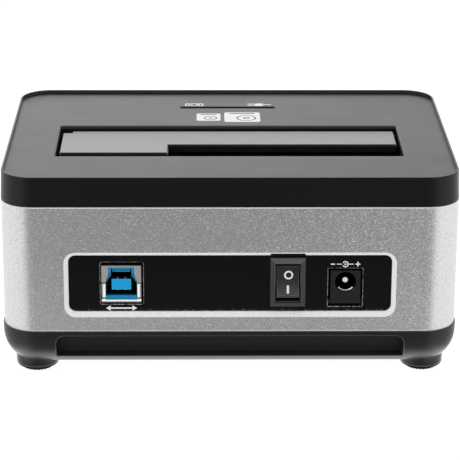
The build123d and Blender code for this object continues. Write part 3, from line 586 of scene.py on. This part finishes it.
class DOCK_OT_band(Operator):
    """Dress the aluminium band in bead-blasted metal"""

    bl_idname = "dock.band"
    bl_label = "Aluminium band"

    def execute(self, context):
        low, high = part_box("aluminium_shell")
        plate, switch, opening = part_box("rear_plate"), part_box("switch_housing"), window()
        margin = 0.0024
        cut_edge = 0.0004

        def bevel(finish):
            """The cut bevel round the window, and the band's two cut edges, painted pale as a
            highlight.
            """
            at = finish.at
            beside = at.x.size().under(plate[1].x + margin + 0.00025, 0.00025)
            around = beside * at.z.within(plate[0].z, plate[1].z, 0.0001)
            sloped = at.y.within(low.y + 0.00004, plate[0].y + 0.0001, 0.00002)
            foot = at.z.under(low.z + cut_edge, 0.00005)
            top = at.z.over(high.z - cut_edge, 0.00005)
            return (around * sloped).higher(foot.higher(top))

        def switch_shadow(finish):
            """Painted shadow and reflection of the switch bezel, dark on the bevel over the switch.
            """
            above = finish.at.z.within(opening[1].z - 0.003, opening[1].z + 0.0008, 0.0001)
            return finish.at.x.within(switch[0].x, switch[1].x, 0.0003) * above

        band = blasted_metal(
            "blasted_aluminium",
            colours().aluminium,
            roughness=0.28,
            flakes=0.26,
            edge=0.00008,
            sparkle=1.8,
            cut=bevel,
            painted_shadow=switch_shadow,
        )
        paint(band, "aluminium_shell")
        return {"FINISHED"}


class DOCK_OT_base(Operator):
    """Dress the base tray, its rubber pads and the case screws"""

    bl_idname = "dock.base"
    bl_label = "Base and feet"

    def execute(self, context):
        low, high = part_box("base_tray")
        foot_top, foot_edge = low.z + 0.0025, low.z + 0.00085
        recess_half, recess_top, recess_depth = 0.052, 0.0095, 0.008

        def recess(finish):
            """The recess in the front and back, lightened as painted light, most towards its ledge.
            """
            at = finish.at
            out = at.y.size()
            inside = out.under(high.y - 0.00045, 0.00015) * at.x.size().under(recess_half, 0.0005)
            inside = inside * out.over(high.y - recess_depth)
            return inside * at.z.ramp(recess_top, 0.003, 0.1, 1.0)

        def lit_edges_above_feet(finish):
            """A painted highlight along the edges above the feet."""
            return finish.edges(0.0002) * finish.at.z.over(foot_top) * 0.6

        def soles(finish):
            """The feet's round lower edges."""
            return finish.at.z.under(foot_edge, 0.00015)

        def shaded_feet(finish):
            """Painted shade on the walls of the feet: a dark metal that mirrors little, but for a
            thin line near the floor.
            """
            z = finish.at.z
            walls = z.ramp(low.z + 0.004, low.z + 0.0016, 0.0, 0.7)
            line = z.within(low.z + 0.0009, low.z + 0.0012, 0.0001)
            return (walls * (1 - line)).higher(z.under(low.z + 0.0008, 0.0001)) * 0.95

        layers = (
            (recess, grey(0.034), 0.45),
            (lit_edges_above_feet, grey(0.09), 0.4),
            (soles, grey(0.001), 1.0),
        )
        black = moulded_plastic("base_black", colours().base, 0.36, 6000, gloss=0.42, layers=layers)
        black.set(metallic=shaded_feet(black))
        paint(black, "base_tray")
        rubber = moulded_plastic(
            "black_rubber",
            grey(0.006),
            0.75,
            texture=3500,
            depth=0.00001,
            mottle=0.08,
            edge=0.00005,
            gloss=0.08,
        )
        paint(rubber, "rubber_feet")
        paint(bright_metal("zinc_screw", (0.6, 0.6, 0.58), 0.32), "case_screws", "well_screws")
        return {"FINISHED"}


class DOCK_OT_door(Operator):
    """Dress the sprung door: silver plate, black panel, pin and spring"""

    bl_idname = "dock.door"
    bl_label = "Door"

    def execute(self, context):
        silver = blasted_metal(
            "door_silver", colours().door, roughness=0.42, flakes=0.06, edge=0.00015
        )
        paint(silver, "door_plate")
        paint(moulded_plastic("door_black", grey(0.006), 0.45, gloss=0.4), "door_panel")
        steel = bright_metal("dark_steel", grey(0.12), 0.35, (0.1, 1, 1))
        paint(steel, "door_hinge_pin", "door_spring")
        return {"FINISHED"}


class DOCK_OT_well(Operator):
    """Dress the drive well and the drive connector at its floor"""

    bl_idname = "dock.well"
    bl_label = "Drive well and connector"

    def execute(self, context):
        paint(moulded_plastic("well_black", grey(0.003), 0.6, 5000, gloss=0.25), "drive_well")
        paint(clear_plastic("connector_black", grey(0.014), 0.3), "sata_connector")
        paint(bright_metal("gold_contacts", (0.9, 0.66, 0.3), 0.2), "sata_contacts")
        return {"FINISHED"}


class DOCK_OT_rear_plate(Operator):
    """Dress the black plate behind the window and print its marks"""

    bl_idname = "dock.rear_plate"
    bl_label = "Rear plate"

    def execute(self, context):
        front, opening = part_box("rear_plate")[0].y, window()

        def cut_edge_highlight(finish):
            """A painted highlight on the narrow bevels round the cut-outs, broken here and there.
            """
            chip = finish.noise(1500, 3.0, 0.7).ramp(0.35, 0.65)
            return finish.at.y.within(front + 0.00003, front + 0.0002, 0.00002) * chip

        def dust(finish):
            """Dust along the foot of the window."""
            specks = finish.noise(2300, 3.0, 0.7).ramp(0.56, 0.64)
            low_down = finish.at.z.under(opening[0].z + 0.00055, 0.00035)
            return low_down * specks * finish.at.y.under(front + 0.000075, 0.000025) * 0.6

        layers = ((cut_edge_highlight, grey(0.42), 0.4), (dust, grey(0.3), 0.8))
        plate = clear_plastic(
            "plate_black", grey(0.0025), 0.22, edge=0.00003, gloss=0.2, layers=layers
        )
        paint(plate, "rear_plate")
        ink = white_ink("plate_print")
        seen = {"right": (1, 0, 0), "up": (0, 0, 1), "finish": ink, "body": "housing"}
        face = front / MM
        thin = sizes().print_stroke / MM
        arrows = bar((-3.25, 0), (3.25, 0), thin * 1.5)
        arrows += patch((-4.6, 0), (-3.2, -0.85), (-3.2, 0.85))
        arrows += patch((4.6, 0), (3.2, 0.85), (3.2, -0.85))
        printed("data_mark", arrows, (-32.2, face, 21.3), **seen)
        sign, wire = thin * 1.2, thin * 0.8
        polarity = bar((-4.3, 0), (-3.1, 0), sign) + bar((-2.5, 0), (-1.0, 0), wire)
        polarity += ring((0, 0), 0.8, thin, 210, 510) + ring((0, 0), 0.14, 0.26)
        polarity += bar((0.95, 0), (2.5, 0), wire)
        polarity += bar((3.0, 0), (4.4, 0), sign) + bar((3.7, 0.2), (3.7, 0.72), sign)
        polarity += bar((3.7, -0.72), (3.7, -0.2), sign)
        printed("polarity_mark", polarity, (34.0, face, 35.15), **seen)
        return {"FINISHED"}


class DOCK_OT_data_socket(Operator):
    """Dress the data socket: plated shell, blue insulator and contacts"""

    bl_idname = "dock.data_socket"
    bl_label = "Data socket"

    def execute(self, context):
        low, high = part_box("usb_shell")
        centre, front = (low.x + high.x) / 2, low.y
        floor, ceiling = (corner.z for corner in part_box("usb_insulator"))
        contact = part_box("usb_contacts")[0]
        inner_wall, tongue_half = 0.0049, 0.00289

        def strip_highlights(finish):
            """Painted highlights on the shell's foot and low sides."""
            at = finish.at
            sides = (at.x - centre).size().within(inner_wall - 0.00015, inner_wall + 0.00055)
            sides = sides * at.z.within(low.z + 0.0016, low.z + 0.0057)
            foot = at.z.within(low.z + 0.0003, low.z + 0.001)
            return sides.higher(foot) * at.y.under(front + 0.00075, 0.00025)

        def gaps(finish):
            """The slits at the ends of the low sides."""
            at = finish.at
            lower = at.z.within(low.z + 0.0011, low.z + 0.0014)
            upper = at.z.within(low.z + 0.0059, low.z + 0.0062)
            return lower.higher(upper) * (at.x - centre).size().over(inner_wall)

        def socket_shade(finish):
            """Painted shade on the walls inside the socket, darker with depth, but for the face of
            its tongue.
            """
            x, y, z = finish.at
            x = (x - centre).size()
            tongue = y.under(front + 0.0009, 0.00002)
            tongue = tongue * z.within(floor + 0.0031, ceiling - 0.0039, 0.00004)
            tongue = tongue * x.under(tongue_half, 0.00001)
            upper = z.over(ceiling - 0.00195) * y.under(front + 0.001375, 0.000025) * 0.45
            deep = y.over(front + 0.00105, 0.00055)
            face = y.under(front + 0.0002, 0.0001) * 0.12
            sill = z.within(floor + 0.0003, floor + 0.0017, 0.0002) * 0.25
            sides = x.over(0.00435, 0.00015) * 0.2
            return deep.higher(0.8 - sill - face + sides) * (1 - tongue) * (1 - upper)

        def ends(finish):
            """The contacts' front ends, whitened as a painted highlight."""
            return finish.at.y.under(contact.y + 0.0006, 0.0002) * 0.35

        nickel = bright_metal("nickel_shell", (0.95, 0.92, 0.88), 0.34, white=strip_highlights, dark=gaps)
        paint(nickel, "usb_shell")
        # Layers: painted shade inside the socket, and a painted highlight along its edges.
        layers = (
            (socket_shade, (0.0, 0.006, 0.02), 0.5),
            (edge_highlight(0.0003, 0.7), (0.2, 0.55, 0.7), 0.35),
        )
        blue = clear_plastic("socket_blue", colours().socket, 0.35, gloss=0.2, layers=layers)
        paint(blue, "usb_insulator")
        # Tin contacts darkened as painted shade, deep in the socket.
        paint(bright_metal("tin_contacts", (0.12, 0.11, 0.1), 0.4, white=ends), "usb_contacts")
        return {"FINISHED"}


class DOCK_OT_power_inlet(Operator):
    """Dress the power inlet: black body, bright pin and leaf"""

    bl_idname = "dock.power_inlet"
    bl_label = "Power inlet"

    def execute(self, context):
        black = moulded_plastic("jack_black", grey(0.008), 0.42, edge=0.0001, gloss=0.4)
        paint(black, "jack_body")
        pin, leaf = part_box("jack_pin")[0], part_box("jack_spring")[0]

        def tip_highlight(finish):
            """A painted highlight on the pin's tip, against the dark hole."""
            return finish.at.y.under(pin.y + 0.0003, 0.0001)

        def leaf_highlight(finish):
            """A painted highlight on the front edge of the leaf, broken in places."""
            patchy_highlight = finish.noise(1300, 2.0).ramp(0.4, 0.6, 0.55, 1.0)
            return finish.at.y.under(leaf.y + 0.0003, 0.0001) * patchy_highlight

        # Pin and leaf darkened as painted shade in the hole.
        paint(bright_metal("pin_steel", (0.25, 0.24, 0.22), 0.3, white=tip_highlight), "jack_pin")
        paint(bright_metal("leaf_steel", (0.2, 0.19, 0.17), 0.3, white=leaf_highlight), "jack_spring")
        return {"FINISHED"}


class DOCK_OT_switch(Operator):
    """Dress the rocker switch and put the marks on its rocker"""

    bl_idname = "dock.switch"
    bl_label = "Rocker switch"

    def execute(self, context):
        low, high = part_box("switch_housing")
        middle, half = (low + high) / 2, (high - low) / 2
        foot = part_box("switch_rocker")[0]
        bar_width = 0.0014

        def mitre(finish):
            """The bezel's bars fall towards the opening and meet in mitres."""
            sides = half.x - (finish.at.x - middle.x).size()
            ends = half.z - (finish.at.z - middle.z).size()
            return sides.lower(ends) * -0.3

        def lit_top_bar(finish):
            """Painted light on the bezel's top bar."""
            sides = half.x - (finish.at.x - middle.x).size()
            down = high.z - finish.at.z
            return down.under(bar_width - 0.00003, 0.00002) * (sides - down).over(0)

        def lit_lower_half(finish):
            """Painted light on the rocker's lower half, more towards the bottom."""
            return finish.at.z.ramp(foot.z + 0.006, foot.z + 0.0005)

        # Layers: painted light on the bezel's top bar, and a painted highlight along its edges.
        layers = ((lit_top_bar, grey(0.085), 0.5), (edge_highlight(0.0003, 0.6), grey(0.14), 0.4))
        bezel = moulded_plastic(
            "switch_black", (0.034, 0.034, 0.035), 0.45, 3500, 0.00002, shape=mitre, layers=layers
        )
        paint(bezel, "switch_housing")
        # Layers: painted light on the rocker's lower half, and a painted highlight along its edges.
        layers = ((lit_lower_half, grey(0.05), 0.5), (edge_highlight(0.0004, 0.8), grey(0.2), 0.4))
        paint(moulded_plastic("rocker_black", grey(0.016), 0.36, layers=layers), "switch_rocker")
        paint(bright_metal("terminal_tin", (0.6, 0.58, 0.54), 0.3), "switch_terminals")
        paint(clear_plastic("lead_sleeve", (0.35, 0.02, 0.02), 0.4), "switch_leads")
        seen = {
            "right": (1, 0, 0),
            "finish": white_ink("rocker_mark"),
            "body": "rocker",
            "proud": 0.00002,
        }
        tilt = JOINTS["switch_tilt"]
        x, y, z = (value / MM for value in tilt["pos_m"])
        face, crease = low.y / MM + 1.35, z + 0.6
        upper = (x + 0.2, face, z + 2.21)
        printed("off_mark", ring((0, 0), 1.1, 0.48), upper, up=(0, 0, 1), **seen)
        lean = math.radians(tilt["range_deg"][1])
        down = Vector((0, -math.sin(lean), -math.cos(lean)))
        lower = Vector((x, face, crease)) + down * 2.75
        printed("on_mark", bar((0, -1.2), (0, 1.2), 0.66), lower, up=-down, **seen)
        return {"FINISHED"}


class DOCK_OT_lights(Operator):
    """Dress the light guide and its status lights"""

    bl_idname = "dock.lights"
    bl_label = "Status lights"

    def execute(self, context):
        paint(clear_plastic("smoked_light", grey(0.002), 0.5, gloss=0.15), "light_guide")
        paint(clear_plastic("led_white", (0.85, 0.85, 0.75), 0.3), "status_leds")
        return {"FINISHED"}


class DOCK_OT_board(Operator):
    """Dress the main board and the parts on it"""

    bl_idname = "dock.board"
    bl_label = "Main board"

    def execute(self, context):
        paint(solder_mask("board_green", colours().board), "main_board")
        paint(bright_metal("board_screw", (0.62, 0.62, 0.6), 0.3), "board_screws")
        chip = moulded_plastic("chip_black", grey(0.03), 0.55, 4000)
        paint(chip, "bridge_chip", "flash_chip", "capacitor_feet")
        paint(bright_metal("can_aluminium", grey(0.75), 0.25), "crystal", "can_capacitors")
        paint(moulded_plastic("ferrite_grey", grey(0.09), 0.6, 3000), "inductors")
        paint(clear_plastic("ceramic_tan", (0.45, 0.33, 0.2), 0.4), "ceramic_parts")
        return {"FINISHED"}


class DOCK_OT_stage(Operator):
    """Set up the pale floor, the soft light and the camera"""

    bl_idname = "dock.stage"
    bl_label = "Stage"

    def execute(self, context):
        settings = context.scene.dock_studio
        self.floor(context, settings)
        self.surroundings(context, settings)
        self.camera(context, settings)
        context.scene.view_settings.view_transform = "Standard"
        return {"FINISHED"}

    @staticmethod
    def by_ray(graph, seen, soft, mirrored):
        """Brightness as the camera sees it, as matt surfaces receive it, and as bright ones do."""
        shown = graph.node("ShaderNodeLightPath", output="Is Camera Ray")
        matt = graph.node("ShaderNodeLightPath", output="Is Diffuse Ray")
        return shown * seen + matt * soft + (1 - shown - matt) * mirrored

    def floor(self, context, settings):
        """A pale floor, mirrored as dim in a fan before the sockets and bright under the dock."""
        half = settings.floor_size / 2
        mesh = bpy.data.meshes.new("floor")
        corners = [(-half, -half, 0), (half, -half, 0), (half, half, 0), (-half, half, 0)]
        mesh.from_pydata(corners, [], [(0, 1, 2, 3)])
        floor = bpy.data.objects.new("floor", mesh)
        context.scene.collection.objects.link(floor)
        material = bpy.data.materials.new("pale_floor")
        material.use_nodes = True
        graph = Graph(material.node_tree)
        x, y, z = graph.split(graph.node("ShaderNodeTexCoord", output="Object"))
        rear, side = -0.047, 0.058  # where the fan starts
        ahead = (rear - y).higher(0.0001)
        beside = ((x.size() - side) / ahead).ramp(settings.fan_start, settings.fan_end)
        front = settings.dim * y.ramp(-0.15, -0.06, 1.0, 2.0)
        open_floor = front + beside * (settings.bright - front)
        beneath = x.size().under(0.07, 0.004) * y.size().under(0.04825, 0.00275)
        glow = open_floor + beneath * (settings.under - open_floor)
        level = self.by_ray(graph, settings.floor_shown, settings.soft, glow)
        light = graph.node("ShaderNodeEmission", None, {"Color": grey(1), "Strength": level})
        matt = graph.node("ShaderNodeBsdfDiffuse", None, {"Color": grey(0.14)})
        both = graph.node("ShaderNodeAddShader", None, {0: light, 1: matt})
        graph.node("ShaderNodeOutputMaterial", None, {"Surface": both})
        mesh.materials.append(material)

    def surroundings(self, context, settings):
        """A bright room, brightest beyond the dock and dim low down before its sockets."""
        world = bpy.data.worlds.new("soft_room")
        context.scene.world = world
        world.use_nodes = True
        graph = Graph(world.node_tree)
        x, y, z = graph.split(graph.node("ShaderNodeTexCoord", output="Generated"))
        away = (y * -0.94 - z * 0.34).ramp(settings.cone_outer, settings.cone_inner)
        beyond = y.ramp(0.1, 0.7) * x.ramp(-0.02, 0.12, 1.0, 0.62)
        open_side = settings.bright + beyond * (settings.back - settings.bright)
        level = open_side + away * (settings.dim - open_side)
        strength = self.by_ray(graph, 1, settings.soft, level)
        light = graph.node("ShaderNodeBackground", None, {"Color": grey(1), "Strength": strength})
        graph.node("ShaderNodeOutputWorld", None, {"Surface": light})

    def camera(self, context, settings):
        """The camera, at the photograph's place and angle."""
        data = bpy.data.cameras.new("camera")
        data.sensor_width = 36
        data.lens = settings.lens
        data.clip_start = 0.01
        data.clip_end = 20
        camera = bpy.data.objects.new("camera", data)
        context.scene.collection.objects.link(camera)
        turn = Matrix.Rotation(-settings.turn, 4, "Z")
        tilt = Matrix.Rotation(math.pi / 2 - settings.tilt, 4, "X")
        roll = Matrix.Rotation(settings.roll, 4, "Z")
        camera.matrix_world = Matrix.Translation(settings.camera_place) @ turn @ tilt @ roll
        context.scene.camera = camera


PIECES = (
    DOCK_OT_cover,
    DOCK_OT_band,
    DOCK_OT_base,
    DOCK_OT_door,
    DOCK_OT_well,
    DOCK_OT_rear_plate,
    DOCK_OT_data_socket,
    DOCK_OT_power_inlet,
    DOCK_OT_switch,
    DOCK_OT_lights,
    DOCK_OT_board,
    DOCK_OT_stage,
)


# Settings


def length(name, description, default):
    return FloatProperty(name=name, description=description, default=default, min=0, unit="LENGTH")


def colour(name, description, default):
    return FloatVectorProperty(
        name=name, description=description, default=default, subtype="COLOR", min=0, max=1
    )


def angle(name, description, default):
    return FloatProperty(
        name=name, description=description, default=math.radians(default), unit="ROTATION"
    )


def level(name, description, default):
    return FloatProperty(name=name, description=description, default=default, min=0)


class DockSizes(PropertyGroup):
    edge_round: length("Edge rounding", "Radius of the softened moulded edges", 0.0002)
    print_proud: length("Print height", "How far a print stands out of its surface", 0.000008)
    print_depth: length("Print thickness", "Thickness of a print's solid", 0.00003)
    print_stroke: length("Print stroke", "Width of a print's thin lines", 0.0003)
    rim_height: length("Rim height", "How far the cover's rim stands over its face", 0.00095)


class DockColours(PropertyGroup):
    cover: colour("Cover", "Satin black of the top cover", (0.0035, 0.0035, 0.0035))
    aluminium: colour("Aluminium", "Blasted aluminium of the band", (0.72, 0.72, 0.71))
    base: colour("Base", "Black of the base tray", (0.0055, 0.0055, 0.0055))
    door: colour("Door", "Silver of the door plate", (0.205, 0.205, 0.203))
    socket: colour("Data socket", "Blue of the data socket", (0.002, 0.37, 0.76))
    # The board's green, darkened as painted shade where it shows in the gap under the power inlet.
    board: colour("Board", "Green of the main board", (0.005, 0.034, 0.014))
    print_white: colour("Prints", "White of the prints and marks", (0.92, 0.92, 0.92))


class DockStudio(PropertyGroup):
    camera_place: FloatVectorProperty(
        name="Camera place",
        description="Where the camera stands",
        default=(-0.0084, -0.63875, 0.2573),
        subtype="TRANSLATION",
        unit="LENGTH",
    )
    lens: FloatProperty(name="Lens", description="Focal length in millimetres", default=168.18)
    tilt: angle("Tilt", "How far the camera looks down", 19.6)
    turn: angle("Turn", "How far the camera turns to its right", 0.8)
    roll: angle("Roll", "How far the camera leans over", 0.22)
    bright: level("Bright light", "Light from the sides and above", 0.9)
    back: level("Back light", "Light from beyond the dock", 1.85)
    under: level("Under light", "Light from the floor beneath the dock", 2.5)
    soft: level("Soft light", "Light that matt surfaces receive from all sides", 0.93)
    dim: level("Dim light", "Light from in front of the sockets", 0.18)
    floor_shown: level("Floor", "How pale the floor looks", 0.97)
    cone_inner: level("Dim core", "Cosine where the dim part of the room is full", 0.87)
    cone_outer: level("Dim rim", "Cosine where the dim part of the room ends", 0.62)
    fan_start: level("Fan start", "Slope at which the floor's dim fan begins to end", 0.45)
    fan_end: level("Fan end", "Slope at which the floor's dim fan has ended", 0.75)
    floor_size: length("Floor size", "Side of the square floor", 6.0)


GROUPS = {"dock_sizes": DockSizes, "dock_colours": DockColours, "dock_studio": DockStudio}


class DOCK_PT_pieces(Panel):
    """Lists the dock's pieces and settings"""

    bl_idname = "DOCK_PT_pieces"
    bl_label = "Drive Dock"
    bl_space_type = "VIEW_3D"
    bl_region_type = "UI"
    bl_category = "Drive Dock"

    def draw(self, context):
        for piece in PIECES:
            self.layout.operator(piece.bl_idname)
        for group in GROUPS:
            settings = getattr(context.scene, group)
            box = self.layout.box()
            for name in settings.__annotations__:
                box.prop(settings, name)


CLASSES = (*GROUPS.values(), *PIECES, DOCK_PT_pieces)


def register():
    for item in CLASSES:
        bpy.utils.register_class(item)
    for name, group in GROUPS.items():
        setattr(bpy.types.Scene, name, PointerProperty(type=group))


def unregister():
    for name in GROUPS:
        delattr(bpy.types.Scene, name)
    for item in reversed(CLASSES):
        bpy.utils.unregister_class(item)


def main():
    register()
    for piece in PIECES:
        group, name = piece.bl_idname.split(".")
        getattr(getattr(bpy.ops, group), name)()


if __name__ == "__main__":
    main()
